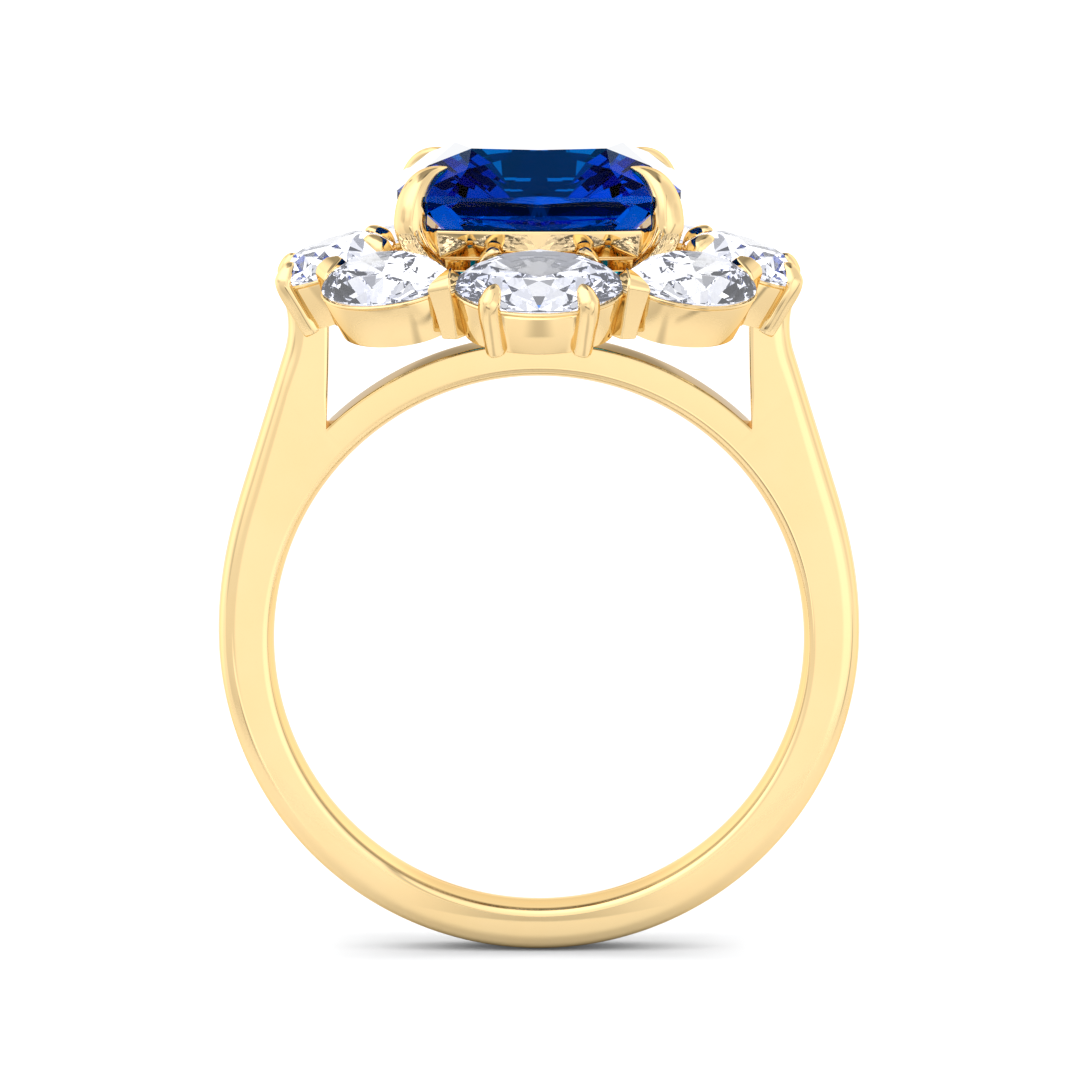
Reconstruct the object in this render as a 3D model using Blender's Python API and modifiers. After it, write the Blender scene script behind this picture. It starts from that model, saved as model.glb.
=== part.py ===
"""Engagement ring: a square cushion stone over a halo of eight ovals, on a flat-sided band.

The finger axis is Y, the head points up along +Z, and the origin is the centre of the
finger hole. Lengths below are in millimetres and angles in degrees; meshes are scaled to
metres as they are made.
"""
import math

import bmesh
import bpy
from mathutils import Matrix, Vector

MM = 0.001

# Band: inner circle at the crest of its domed inside, outer circle set a little high.
HOLE_RADIUS = 8.45
BAND_WIDTH = 2.3
BAND_OUTER_RADIUS = 10.24
BAND_OUTER_RISE = 0.265
DOME_RISE = 0.13
INNER_FILLET = 0.26
OUTER_FILLET = (0.40, 0.55)
# Cathedral shoulders: outer line leaves the band at SHOULDER_START and leans inward.
SHOULDER_START = (9.45, 4.90)
SHOULDER_LEAN = 0.31
SHOULDER_TOP = 10.75
SHOULDER_FLARE = (9.2, 0.184)
SHOULDER_INNER = 6.66
# Bridge: the part of the finger hole's rim under the head.
BRIDGE_RADIUS = 9.63
BRIDGE_ANGLE = 45.3
BRIDGE_FILLET = 0.07
JOINT_GAP = 0.012

# Centre stone, a square cushion brilliant.
STONE_HALF = 4.67
STONE_CORNER = 5.55
STONE_TABLE = (2.66, 3.00)
GIRDLE_Z = 14.50
CROWN = 1.27
GIRDLE = 0.26
CULET_Z = 10.35
# Its claws, on the diagonals.
CLAW_RADIUS = 5.70
CLAW_WIDTH = 1.0
CLAW_FOOT = (1.36, 9.72)
# Gallery rails.
UPPER_RAIL_Z = (12.61, 13.51)
UPPER_RAIL_HALF = 3.21
UPPER_RAIL_REACH = 4.10
UPPER_RAIL_BOW = 0.30
UPPER_RAIL_WALL = 0.42
LOWER_RAIL_RADIUS = (3.38, 3.90)
LOWER_RAIL_Z = (10.62, 11.02)
COLLAR_RADIUS = (1.15, 1.85)
COLLAR_TOP = 9.92

# Halo: semi-axes of each oval, distance of its centre from the Z axis, and height.
TILT = 19.0
AXIS_OVAL = dict(a=2.635, b=1.93, radius=6.47, z=12.04, crown=0.65, pavilion=1.50)
DIAGONAL_OVAL = dict(a=2.33, b=1.70, radius=6.83, z=11.96, crown=0.60, pavilion=1.42)
OVAL_TABLE = 0.60
OVAL_GIRDLE = 0.07
COLLET_DEPTH = 1.65
COLLET_TAPER = (0.30, 0.33)
HALO_CLAW_T = 1.47
HALO_CLAW_WIDTH = 0.60
HALO_CLAW_THICK = 0.33
BAR_ANGLE = 24.0
BAR_WIDTHS = (0.47, 0.66)


def clear_scene():
    """Start from an empty scene."""
    for obj in list(bpy.data.objects):
        bpy.data.objects.remove(obj, do_unlink=True)


def new_collection(name):
    """A collection linked to the scene."""
    collection = bpy.data.collections.new(name)
    bpy.context.scene.collection.children.link(collection)
    return collection


def new_material(name, color, metallic, roughness):
    """A Principled material."""
    material = bpy.data.materials.new(name)
    material.use_nodes = True
    shader = material.node_tree.nodes["Principled BSDF"]
    shader.inputs["Base Color"].default_value = (*color, 1.0)
    shader.inputs["Metallic"].default_value = metallic
    shader.inputs["Roughness"].default_value = roughness
    return material


def finish_mesh(bm, name, material, sharp=35.0):
    """Turn a bmesh in millimetres into a mesh in metres, smooth below the sharp angle."""
    bmesh.ops.recalc_face_normals(bm, faces=bm.faces)
    bmesh.ops.scale(bm, vec=(MM, MM, MM), verts=bm.verts)
    mesh = bpy.data.meshes.new(name)
    bm.to_mesh(mesh)
    bm.free()
    mesh.materials.append(material)
    mesh.shade_smooth()
    mesh.set_sharp_from_angle(angle=math.radians(sharp))
    return mesh


def add_object(name, mesh, collection, matrix=None):
    """One named object holding the mesh, placed by its matrix."""
    obj = bpy.data.objects.new(name, mesh)
    collection.objects.link(obj)
    if matrix is not None:
        obj.matrix_world = matrix
    return obj


def add_cutter(name, mesh, matrix=None):
    """A helper object that is kept out of the model."""
    obj = add_object(name, mesh, cutters, matrix)
    obj.hide_render = True
    obj.display_type = "WIRE"
    return obj


def cut_with(obj, cutter):
    """Take the cutter away from the object."""
    modifier = obj.modifiers.new("Cut_" + cutter.name, "BOOLEAN")
    modifier.operation = "DIFFERENCE"
    modifier.solver = "EXACT"
    modifier.object = cutter


def loft(rings):
    """A closed body through rings of equal length, with a flat face at each end."""
    bm = bmesh.new()
    rows = [[bm.verts.new(point) for point in ring] for ring in rings]
    count = len(rows[0])
    for row, after in zip(rows, rows[1:]):
        for i in range(count):
            j = (i + 1) % count
            bm.faces.new((row[i], row[j], after[j], after[i]))
    bm.faces.new(rows[0])
    bm.faces.new(rows[-1])
    bmesh.ops.remove_doubles(bm, verts=bm.verts, dist=1e-4)
    bmesh.ops.dissolve_degenerate(bm, edges=bm.edges, dist=1e-4)
    return bm


def bezier(points, t):
    """A point on the Bezier curve with these control points."""
    while len(points) > 1:
        points = [p.lerp(q, t) for p, q in zip(points, points[1:])]
    return points[0]


def polar(radius, degrees):
    """A point in the plane of the ring as (x, z)."""
    angle = math.radians(degrees)
    return Vector((radius * math.cos(angle), radius * math.sin(angle)))


# ---------------------------------------------------------------- band

def band_section(inner, outer, dome, inner_fillet, outer_fillet):
    """One section of the band, from its inner point to its outer point, both (x, z).

    The inside is domed and meets the side fillets at an arris; the sides are flat.
    """
    reach = (outer - inner).length
    direction = (outer - inner) / reach
    half = BAND_WIDTH / 2.0
    flat = half - inner_fillet * 0.75
    right = []
    for k in range(1, 3):
        y = flat * k / 2.0
        right.append((y, dome * (y / flat) ** 2))
    for k in range(1, 3):
        turn = math.radians(45.0 * k)
        right.append((flat + (half - flat) * math.sin(turn),
                      dome + inner_fillet * (1.0 - math.cos(turn))))
    for k in range(4):
        turn = math.radians(30.0 * k)
        right.append((half - outer_fillet * (1.0 - math.cos(turn)),
                      reach - 0.05 - outer_fillet * (1.0 - math.sin(turn))))
    profile = [(0.0, 0.0)] + right + [(0.0, reach)] + [(-y, s) for y, s in reversed(right)]
    ring = []
    for y, s in profile:
        point = inner + direction * s
        ring.append(Vector((point.x, y, point.y)))
    return ring


def shoulder_outer(t):
    """The outer line of the band above the finger's centre, t from 0 to 1 to 2."""
    start = Vector((BAND_OUTER_RADIUS, BAND_OUTER_RISE))
    end = Vector(SHOULDER_START)
    if t <= 1.0:
        handle = Vector((-SHOULDER_LEAN, 1.0)) * 1.3
        return bezier([start, start + Vector((0.0, 1.8)), end - handle, end], t)
    z = end.y + (SHOULDER_TOP - end.y) * (t - 1.0)
    flare = SHOULDER_FLARE[1] * max(z - SHOULDER_FLARE[0], 0.0) ** 2
    return Vector((end.x - SHOULDER_LEAN * (z - end.y) + flare, z))


def band_stations():
    """(inner, outer, dome) of each section, from the bottom of the band to a shoulder."""
    stations = []
    for k in range(15):
        angle = -90.0 + 90.0 * k / 15.0
        direction = polar(1.0, angle)
        rise = BAND_OUTER_RISE * direction.y
        spread = BAND_OUTER_RADIUS ** 2 - BAND_OUTER_RISE ** 2 + rise ** 2
        stations.append((polar(HOLE_RADIUS, angle), direction * (rise + math.sqrt(spread)), 1.0))
    end = BRIDGE_ANGLE - math.degrees(JOINT_GAP / BRIDGE_RADIUS)
    for k in range(10):
        f = k / 9.0
        stations.append((polar(HOLE_RADIUS, end * f), shoulder_outer(1.62 * f), 1.0))
    outer = shoulder_outer(1.62)
    crotch = polar(BRIDGE_RADIUS + JOINT_GAP, end)
    stations.append((crotch, outer, 0.3))
    for k in range(1, 5):
        f = k / 4.0
        z = crotch.y + (SHOULDER_TOP - crotch.y) * f
        x = crotch.x + (SHOULDER_INNER - crotch.x) * math.sin(math.pi * f / 2.0)
        stations.append((Vector((x, z)), shoulder_outer(1.62 + 0.38 * f), 0.3))
    return stations


def make_shank(material):
    """The band with both shoulders, as one loft from shoulder to shoulder."""
    right = []
    for inner, outer, dome in band_stations():
        fillet = INNER_FILLET if dome == 1.0 else 0.16
        share = min(max(outer.y / HOLE_RADIUS + 1.0, 0.0), 1.0)
        rounding = OUTER_FILLET[0] + (OUTER_FILLET[1] - OUTER_FILLET[0]) * share
        rounding = min(rounding, (outer - inner).length * 0.45)
        right.append(band_section(inner, outer, DOME_RISE * dome, fillet, rounding))
    left = [[Vector((-p.x, p.y, p.z)) for p in ring] for ring in right[1:]]
    return finish_mesh(loft(list(reversed(left)) + right), "shank", material)


def make_bridge(material):
    """The arch over the finger hole between the shoulders."""
    margin = math.degrees(JOINT_GAP / HOLE_RADIUS)
    start = BRIDGE_ANGLE + margin
    rings = []
    for k in range(17):
        angle = start + (180.0 - 2.0 * start) * k / 16.0
        rings.append(band_section(polar(HOLE_RADIUS, angle), polar(BRIDGE_RADIUS, angle),
                                  DOME_RISE, INNER_FILLET, BRIDGE_FILLET))
    return finish_mesh(loft(rings), "bridge", material)


# ---------------------------------------------------------------- stones

def slice_off(bm, point, normal):
    """Grind one facet: everything on the normal's side of the plane goes."""
    geometry = bm.verts[:] + bm.edges[:] + bm.faces[:]
    cut = bmesh.ops.bisect_plane(bm, geom=geometry, dist=2e-4, plane_co=point,
                                 plane_no=normal, clear_outer=True)
    edges = [e for e in cut["geom_cut"] if isinstance(e, bmesh.types.BMEdge)]
    loose = [e for e in edges if e.is_valid and len(e.link_faces) == 1]
    if len(loose) > 2:
        bmesh.ops.edgeloop_fill(bm, edges=loose)


def facet(bm, a, b, c, inside):
    """Grind the facet through three points, keeping the side of the inside point."""
    normal = (b - a).cross(c - a).normalized()
    if normal.dot(inside - a) > 0.0:
        normal.negate()
    slice_off(bm, a, normal)


def superellipse(half, corner, angle):
    """A point of a square outline with bowed sides; corner is its reach on a diagonal."""
    power = 1.0 / (0.5 - math.log2(corner / half))
    c, s = math.cos(angle), math.sin(angle)
    reach = half / (abs(c) ** power + abs(s) ** power) ** (1.0 / power)
    return Vector((reach * c, reach * s, 0.0))


def brilliant(half, corner, table, crown, girdle, pavilion, segments):
    """A brilliant cut on a round or cushion outline, girdle centred on z = 0.

    Table corners lie on the axes and diagonals at the two table radii. Eight mains, eight
    stars and sixteen halves make the crown; eight mains and sixteen halves the pavilion.
    """
    top, low = girdle / 2.0, -girdle / 2.0
    bm = bmesh.new()
    outline = [superellipse(half, corner, 2.0 * math.pi * k / segments) for k in range(segments)]
    base = bm.faces.new([bm.verts.new((p.x, p.y, low - pavilion)) for p in outline])
    side = bmesh.ops.extrude_face_region(bm, geom=[base])
    lifted = [v for v in side["geom"] if isinstance(v, bmesh.types.BMVert)]
    bmesh.ops.translate(bm, verts=lifted, vec=(0.0, 0.0, girdle + crown + pavilion))
    bmesh.ops.recalc_face_normals(bm, faces=bm.faces)
    middle = Vector((0.0, 0.0, 0.0))
    culet = Vector((0.0, 0.0, low - pavilion))
    rise = Vector((0.0, 0.0, top))
    drop = Vector((0.0, 0.0, low))

    def ray(k, reach, z):
        angle = math.pi * k / 4.0
        return Vector((reach * math.cos(angle), reach * math.sin(angle), z))

    def across(k):
        angle = math.pi * k / 4.0
        return Vector((-math.sin(angle), math.cos(angle), 0.0))

    tables = [ray(k, table[k % 2], top + crown) for k in range(8)]
    girdles = [superellipse(half, corner, math.pi * k / 4.0) for k in range(8)]
    mains = [(girdles[k] + rise - tables[k]).cross(across(k)).normalized() for k in range(8)]
    unders = [(girdles[k] + drop - culet).cross(across(k)).normalized() for k in range(8)]
    for k in range(8):
        facet(bm, tables[k], tables[k] + across(k), girdles[k] + rise, middle)
    for k in range(8):
        m = (k + 1) % 8
        ridge = mains[k].cross(mains[m]).normalized()
        corner_top = meet(tables[k], mains[k], tables[m], mains[m], ridge, top + crown)
        star = corner_top + ridge * (-0.42 * crown / ridge.z)
        between = superellipse(half, corner, math.atan2(star.y, star.x)) + rise
        facet(bm, tables[k], tables[m], star, middle)
        facet(bm, star, girdles[k] + rise, between, middle)
        facet(bm, star, girdles[m] + rise, between, middle)
    for k in range(8):
        facet(bm, culet, culet + across(k), girdles[k] + drop, middle)
    for k in range(8):
        m = (k + 1) % 8
        ridge = unders[k].cross(unders[m]).normalized()
        ridge = ridge / ridge.z
        low_star = culet + ridge * (0.26 * pavilion)
        between = superellipse(half, corner, math.atan2(low_star.y, low_star.x)) + drop
        facet(bm, low_star, girdles[k] + drop, between, middle)
        facet(bm, low_star, girdles[m] + drop, between, middle)
    bmesh.ops.remove_doubles(bm, verts=bm.verts, dist=1e-3 * half)
    return bm


def meet(p, normal_p, q, normal_q, ridge, z):
    """The point at height z on the line where two planes cross."""
    rows = Matrix((normal_p, normal_q, Vector((0.0, 0.0, 1.0))))
    return rows.inverted() @ Vector((normal_p.dot(p), normal_q.dot(q), z))


def make_oval(spec, name, material, grow=0.0):
    """An oval brilliant: a round one stretched to its two semi-axes."""
    bm = brilliant(1.0, 1.0, (OVAL_TABLE, OVAL_TABLE), spec["crown"] + grow,
                   OVAL_GIRDLE + grow, spec["pavilion"] + grow, 48)
    bmesh.ops.scale(bm, vec=(spec["a"] + grow, spec["b"] + grow, 1.0), verts=bm.verts)
    return finish_mesh(bm, name, material, 1.0)


def make_centre_stone(name, material, grow=0.0):
    """The square cushion brilliant."""
    pavilion = GIRDLE_Z - GIRDLE / 2.0 - CULET_Z
    bm = brilliant(STONE_HALF + grow, STONE_CORNER + grow, STONE_TABLE, CROWN + grow,
                   GIRDLE + grow, pavilion + grow, 64)
    return finish_mesh(bm, name, material, 1.0)


# ---------------------------------------------------------------- halo

def halo_frame(spec, azimuth):
    """Placement of an oval: its local X runs round the halo, Y outward, Z out of the table."""
    angle = math.radians(azimuth)
    place = Vector((math.cos(angle), math.sin(angle), 0.0)) * spec["radius"]
    place.z = spec["z"]
    turn = Matrix.Rotation(angle - math.pi / 2.0, 4, "Z")
    lean = Matrix.Rotation(-math.radians(TILT), 4, "X")
    return Matrix.Translation(place * MM) @ turn @ lean


def ellipse_ring(a, b, z, count):
    """A ring of points on an ellipse."""
    return [Vector((a * math.cos(2.0 * math.pi * k / count),
                    b * math.sin(2.0 * math.pi * k / count), z)) for k in range(count)]


def make_collet(spec, name, material, count=28):
    """A tapered oval cup, open below, with a narrow bead under the girdle."""
    a, b = spec["a"], spec["b"]
    low_a, low_b = a - COLLET_TAPER[0], b - COLLET_TAPER[1]
    profile = [
        (a - 0.13, b - 0.13, -0.13),
        (a + 0.03, b + 0.03, -0.10),
        (a + 0.06, b + 0.06, -0.15),
        (a + 0.01, b + 0.01, -0.23),
        (low_a, low_b, -COLLET_DEPTH),
        (low_a - 0.25, low_b - 0.25, -COLLET_DEPTH),
        (a - 0.50, b - 0.50, -0.62),
    ]
    bm = bmesh.new()
    rows = [[bm.verts.new(p) for p in ellipse_ring(x, y, z, count)] for x, y, z in profile]
    for row, after in zip(rows, rows[1:] + rows[:1]):
        for i in range(count):
            j = (i + 1) % count
            bm.faces.new((row[i], row[j], after[j], after[i]))
    return finish_mesh(bm, name, material)


def make_collet_envelope(spec, name, material, grow, count=28):
    """The solid outer shape of a collet, a little larger, for cutting seats."""
    a, b = spec["a"] + grow, spec["b"] + grow
    rings = [
        ellipse_ring(a - COLLET_TAPER[0], b - COLLET_TAPER[1], -COLLET_DEPTH - grow, count),
        ellipse_ring(a + 0.06, b + 0.06, -0.16, count),
        ellipse_ring(a + 0.06, b + 0.06, -0.10 + grow, count),
    ]
    return finish_mesh(loft(rings), name, material)


def claw_section(base, across, out, width, thick):
    """A flat-backed rounded section standing on the base point."""
    ring = []
    for k in range(7):
        turn = math.pi * k / 6.0
        x = -math.cos(turn)
        y = math.sin(turn) ** 0.8
        ring.append(base + across * (x * width / 2.0) + out * (y * thick))
    return ring


def make_halo_claw(name, material, side):
    """A claw on the outer wall of an axis collet, hooked over the oval's girdle.

    It lies at local x = side * HALO_CLAW_T; side is 1 or -1.
    """
    a, b = AXIS_OVAL["a"], AXIS_OVAL["b"]
    wall_t = (HALO_CLAW_T, HALO_CLAW_T * (a - COLLET_TAPER[0]) / a)
    high = Vector((side * wall_t[0], b * math.sqrt(1.0 - (wall_t[0] / a) ** 2), 0.0))
    normal = Vector((high.x / a ** 2, high.y / b ** 2, 0.0)).normalized()
    across = Vector((normal.y, -normal.x, 0.0))
    low_a, low_b = a - COLLET_TAPER[0], b - COLLET_TAPER[1]
    low = Vector((side * wall_t[1], low_b * math.sqrt(1.0 - (wall_t[1] / low_a) ** 2),
                  -COLLET_DEPTH))
    up = Vector((0.0, 0.0, 1.0))
    wall = (high + normal * 0.06 - up * 0.15 - low).normalized()
    out = (normal - wall * normal.dot(wall)).normalized()
    gap = out * 0.035
    rings = [
        claw_section(low + gap - wall * 0.06, across, out, HALO_CLAW_WIDTH * 0.62,
                     HALO_CLAW_THICK * 0.55),
        claw_section(low + gap, across, out, HALO_CLAW_WIDTH * 0.86, HALO_CLAW_THICK * 0.98),
    ]
    for f in (0.5, 0.92):
        point = low.lerp(high + normal * 0.06 - up * 0.15, f)
        rings.append(claw_section(point + gap, across, out,
                                  HALO_CLAW_WIDTH * (0.88 + 0.12 * f), HALO_CLAW_THICK))
    crown_path = [
        (normal * 0.10 + up * 0.06, normal * 0.93 + up * 0.36, 0.98, 0.90),
        (normal * -0.02 + up * 0.20, normal * 0.72 + up * 0.70, 0.90, 0.86),
        (normal * -0.13 + up * 0.33, normal * 0.48 + up * 0.88, 0.78, 0.72),
        (normal * -0.25 + up * 0.44, normal * 0.30 + up * 0.95, 0.60, 0.50),
        (normal * -0.35 + up * 0.52, normal * 0.20 + up * 0.98, 0.34, 0.24),
    ]
    for offset, aim, width, thick in crown_path:
        rings.append(claw_section(high + offset, across, aim.normalized(),
                                  HALO_CLAW_WIDTH * width, HALO_CLAW_THICK * thick))
    return finish_mesh(loft(rings), name, material, 50.0)


def make_bar(name, material):
    """The flat-faced bar between two collets, its tip hooked inward over the girdles.

    Local X points outward from the Z axis and Y across the bar.
    """
    low, high = BAR_WIDTHS
    outer = [(6.90, 10.30, low), (7.30, 11.20, 0.57), (7.62, 12.02, high), (7.58, 12.24, high),
             (7.32, 12.44, 0.60), (6.98, 12.52, 0.36)]
    inner = [(6.30, 10.40), (6.45, 11.20), (6.45, 11.95), (6.50, 12.10), (6.58, 12.26),
             (6.72, 12.40)]
    rings = []
    for (x, z, width), (back, back_z) in zip(outer, inner):
        half = width / 2.0
        waist = min(half, 0.21)
        rings.append([Vector((x - 0.04, -half, z)), Vector((x, -half + 0.04, z)),
                      Vector((x, half - 0.04, z)), Vector((x - 0.04, half, z)),
                      Vector((back, waist, back_z)), Vector((back, -waist, back_z))])
    return finish_mesh(loft(rings), name, material)


# ---------------------------------------------------------------- basket

def make_centre_claw(name, material):
    """A claw of the centre basket, in its own plane: local X outward, Y across, Z up."""
    foot = Vector((CLAW_FOOT[0], 0.0, CLAW_FOOT[1]))
    r = CLAW_RADIUS
    nodes = [
        (foot, 0.52, 0.46),
        (Vector((4.05, 0.0, 11.86)), 0.70, 0.60),
        (Vector((4.80, 0.0, 12.48)), 0.92, 0.80),
        (Vector((r - 0.34, 0.0, 13.00)), 1.02 * CLAW_WIDTH, 0.88),
        (Vector((r - 0.02, 0.0, 13.55)), CLAW_WIDTH, 0.90),
        (Vector((r - 0.02, 0.0, 14.02)), CLAW_WIDTH, 0.88),
        (Vector((r - 0.08, 0.0, 14.42)), 0.97 * CLAW_WIDTH, 0.84),
        (Vector((r - 0.27, 0.0, 14.80)), 0.93 * CLAW_WIDTH, 0.76),
        (Vector((r - 0.56, 0.0, 15.08)), 0.85 * CLAW_WIDTH, 0.64),
        (Vector((r - 0.90, 0.0, 15.23)), 0.72 * CLAW_WIDTH, 0.46),
        (Vector((r - 1.24, 0.0, 15.31)), 0.54 * CLAW_WIDTH, 0.32),
        (Vector((r - 1.52, 0.0, 15.36)), 0.30 * CLAW_WIDTH, 0.16),
    ]
    rings = []
    across = Vector((0.0, 1.0, 0.0))
    sides = 12
    for k, (point, width, thick) in enumerate(nodes):
        before = nodes[max(k - 1, 0)][0]
        after = nodes[min(k + 1, len(nodes) - 1)][0]
        out = across.cross((after - before).normalized())
        ring = []
        for i in range(sides):
            turn = 2.0 * math.pi * i / sides
            c, s = math.cos(turn), math.sin(turn)
            x = math.copysign(abs(c) ** 0.75, c)
            y = math.copysign(abs(s) ** 0.75, s)
            ring.append(point + across * (y * width / 2.0) + out * (x * thick / 2.0))
        rings.append(ring)
    return finish_mesh(loft(rings), name, material, 60.0)


def rail_outline(inset, z):
    """The rail's outline: four bowed sides joined by flat corners."""
    points = []
    half = UPPER_RAIL_HALF - inset * 0.42
    for quarter in range(4):
        turn = Matrix.Rotation(math.pi * quarter / 2.0, 3, "Z")
        for k in range(7):
            f = k / 3.0 - 1.0
            bow = UPPER_RAIL_BOW * (1.0 - f * f)
            points.append(turn @ Vector((half * f, inset - UPPER_RAIL_REACH - bow, z)))
    return points


def make_upper_rail(material):
    """The rail under the centre stone."""
    low, high = UPPER_RAIL_Z
    sides = [(0.05, low), (0.0, low + 0.05), (0.0, high - 0.06), (0.05, high),
             (UPPER_RAIL_WALL - 0.04, high), (UPPER_RAIL_WALL, high - 0.04),
             (UPPER_RAIL_WALL, low)]
    bm = bmesh.new()
    rows = [[bm.verts.new(p) for p in rail_outline(inset, z)] for inset, z in sides]
    count = len(rows[0])
    for row, after in zip(rows, rows[1:] + rows[:1]):
        for i in range(count):
            j = (i + 1) % count
            bm.faces.new((row[i], row[j], after[j], after[i]))
    return finish_mesh(bm, "upper_rail", material)


def make_rail_seat(material):
    """The filled shape of the upper rail, a little larger, for notching the claws."""
    low, high = UPPER_RAIL_Z
    rings = [rail_outline(-0.02, low - 0.02), rail_outline(-0.02, high + 0.02)]
    return finish_mesh(loft(rings), "seat_rail", material)


def make_turned(name, material, profile, steps):
    """A closed ring turned about Z from its section, listed from top to bottom outside."""
    mesh = bpy.data.meshes.new(name)
    points = [(x * MM, 0.0, z * MM) for x, z in profile]
    edges = [(k, (k + 1) % len(points)) for k in range(len(points))]
    mesh.from_pydata(points, edges, [])
    mesh.materials.append(material)
    obj = add_object(name, mesh, ring_parts)
    screw = obj.modifiers.new("Turn", "SCREW")
    screw.steps = steps
    screw.render_steps = steps
    screw.use_merge_vertices = True
    screw.merge_threshold = 0.000002
    screw.use_normal_calculate = True
    return obj


def make_disc(name, material, radius, low, high):
    """A plain disc about Z, for cutting flat seats."""
    bm = bmesh.new()
    bmesh.ops.create_cone(bm, cap_ends=True, segments=32, radius1=radius, radius2=radius,
                          depth=high - low,
                          matrix=Matrix.Translation((0.0, 0.0, (low + high) / 2.0)))
    return finish_mesh(bm, name, material)


def make_strut(name, material, azimuth):
    """A short bar from the lower rail to the inner foot of an axis collet."""
    bm = bmesh.new()
    bmesh.ops.create_cube(bm, size=1.0)
    bmesh.ops.scale(bm, vec=(0.60, 0.55, 0.30), verts=bm.verts)
    bmesh.ops.bevel(bm, geom=bm.edges[:], offset=0.04, segments=1, affect="EDGES")
    mesh = finish_mesh(bm, name, material)
    reach = LOWER_RAIL_RADIUS[1] + JOINT_GAP + 0.30
    turn = Matrix.Rotation(math.radians(azimuth), 4, "Z")
    place = Matrix.Translation(Vector((reach, 0.0, sum(LOWER_RAIL_Z) / 2.0)) * MM)
    return add_object(name, mesh, ring_parts, turn @ place)


# ---------------------------------------------------------------- assembly

clear_scene()
ring_parts = new_collection("EngagementRing")
cutters = new_collection("Cutters")

gold = new_material("YellowGold", (0.90, 0.68, 0.33), 1.0, 0.12)
sapphire = new_material("BlueSapphire", (0.01, 0.03, 0.35), 0.0, 0.02)
diamond = new_material("Colourless", (0.95, 0.95, 0.96), 0.0, 0.02)

specs = [AXIS_OVAL, DIAGONAL_OVAL]
labels = ["axis", "diagonal"]
oval_meshes = [make_oval(s, "oval_" + n, diamond) for s, n in zip(specs, labels)]
collet_meshes = [make_collet(s, "collet_" + n, gold) for s, n in zip(specs, labels)]
oval_seats = [make_oval(s, "seat_oval_" + n, gold, 0.03) for s, n in zip(specs, labels)]
collet_seats = [make_collet_envelope(s, "seat_collet_" + n, gold, 0.02)
                for s, n in zip(specs, labels)]
claw_meshes = [make_halo_claw("halo_claw_right", gold, 1.0),
               make_halo_claw("halo_claw_left", gold, -1.0)]

seat_ovals = []
seat_collets = []
claw_number = 0
for index in range(8):
    kind = index % 2
    azimuth = 45.0 * index
    frame = halo_frame(specs[kind], azimuth)
    tag = str(index + 1)
    add_object("oval_" + tag, oval_meshes[kind], ring_parts, frame)
    add_object("collet_" + tag, collet_meshes[kind], ring_parts, frame)
    seat_ovals.append(add_cutter("seat_oval_" + tag, oval_seats[kind], frame))
    seat_collets.append(add_cutter("seat_collet_" + tag, collet_seats[kind], frame))
    if kind == 0:
        half_turn = Matrix.Rotation(math.pi, 4, "Z")
        for spin in (Matrix.Identity(4), half_turn):
            for mesh in claw_meshes:
                claw_number += 1
                claw = add_object("halo_claw_%02d" % claw_number, mesh, ring_parts, frame @ spin)
                cut_with(claw, seat_ovals[index])

bar_mesh = make_bar("bar", gold)
for index in range(8):
    near, side = divmod(index, 2)
    azimuth = 90.0 * near + (BAR_ANGLE if side == 0 else 90.0 - BAR_ANGLE)
    bar = add_object("bar_%d" % (index + 1), bar_mesh, ring_parts,
                     Matrix.Rotation(math.radians(azimuth), 4, "Z"))
    for neighbour in (index, (index + 1) % 8):
        cut_with(bar, seat_collets[neighbour])
        cut_with(bar, seat_ovals[neighbour])

stone_place = Matrix.Translation((0.0, 0.0, GIRDLE_Z * MM))
add_object("centre_stone", make_centre_stone("centre_stone", sapphire), ring_parts, stone_place)
stone_seat = add_cutter("seat_centre", make_centre_stone("seat_centre", gold, 0.03), stone_place)
rail_seat = add_cutter("seat_rail", make_rail_seat(gold))
collar_seat = add_cutter("seat_collar", make_disc("seat_collar", gold, COLLAR_RADIUS[1] + 0.3,
                                                  COLLAR_TOP - 1.0, COLLAR_TOP + 0.015))
claw_mesh = make_centre_claw("centre_claw", gold)
for index in range(4):
    turn = Matrix.Rotation(math.radians(45.0 + 90.0 * index), 4, "Z")
    claw = add_object("centre_claw_%d" % (index + 1), claw_mesh, ring_parts, turn)
    for seat in (stone_seat, rail_seat, collar_seat, seat_ovals[2 * index + 1],
                 seat_collets[2 * index + 1]):
        cut_with(claw, seat)

add_object("upper_rail", make_upper_rail(gold), ring_parts)
near, far = LOWER_RAIL_RADIUS
low, high = LOWER_RAIL_Z
make_turned("lower_rail", gold, [(near + 0.05, high), (far - 0.05, high), (far, high - 0.05),
                                 (far, low + 0.05), (far - 0.05, low), (near + 0.05, low),
                                 (near, low + 0.05), (near, high - 0.05)], 32)
for index in range(4):
    make_strut("strut_%d" % (index + 1), gold, 90.0 * index)

bridge_seat = bmesh.new()
bmesh.ops.create_cone(bridge_seat, cap_ends=True, segments=180, radius1=BRIDGE_RADIUS + 0.02,
                      radius2=BRIDGE_RADIUS + 0.02, depth=6.0,
                      matrix=Matrix.Rotation(math.pi / 2.0, 4, "X"))
seat = add_cutter("seat_bridge", finish_mesh(bridge_seat, "seat_bridge", gold))
near, far = COLLAR_RADIUS
collar = make_turned("base_collar", gold, [(near, COLLAR_TOP), (far - 0.05, COLLAR_TOP),
                                           (far, COLLAR_TOP - 0.05), (far, 9.25),
                                           (near, 9.25)], 24)
cut_with(collar, seat)

shank = add_object("shank", make_shank(gold), ring_parts)
for index in (0, 4):
    cut_with(shank, seat_collets[index])
add_object("bridge", make_bridge(gold), ring_parts)
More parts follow.
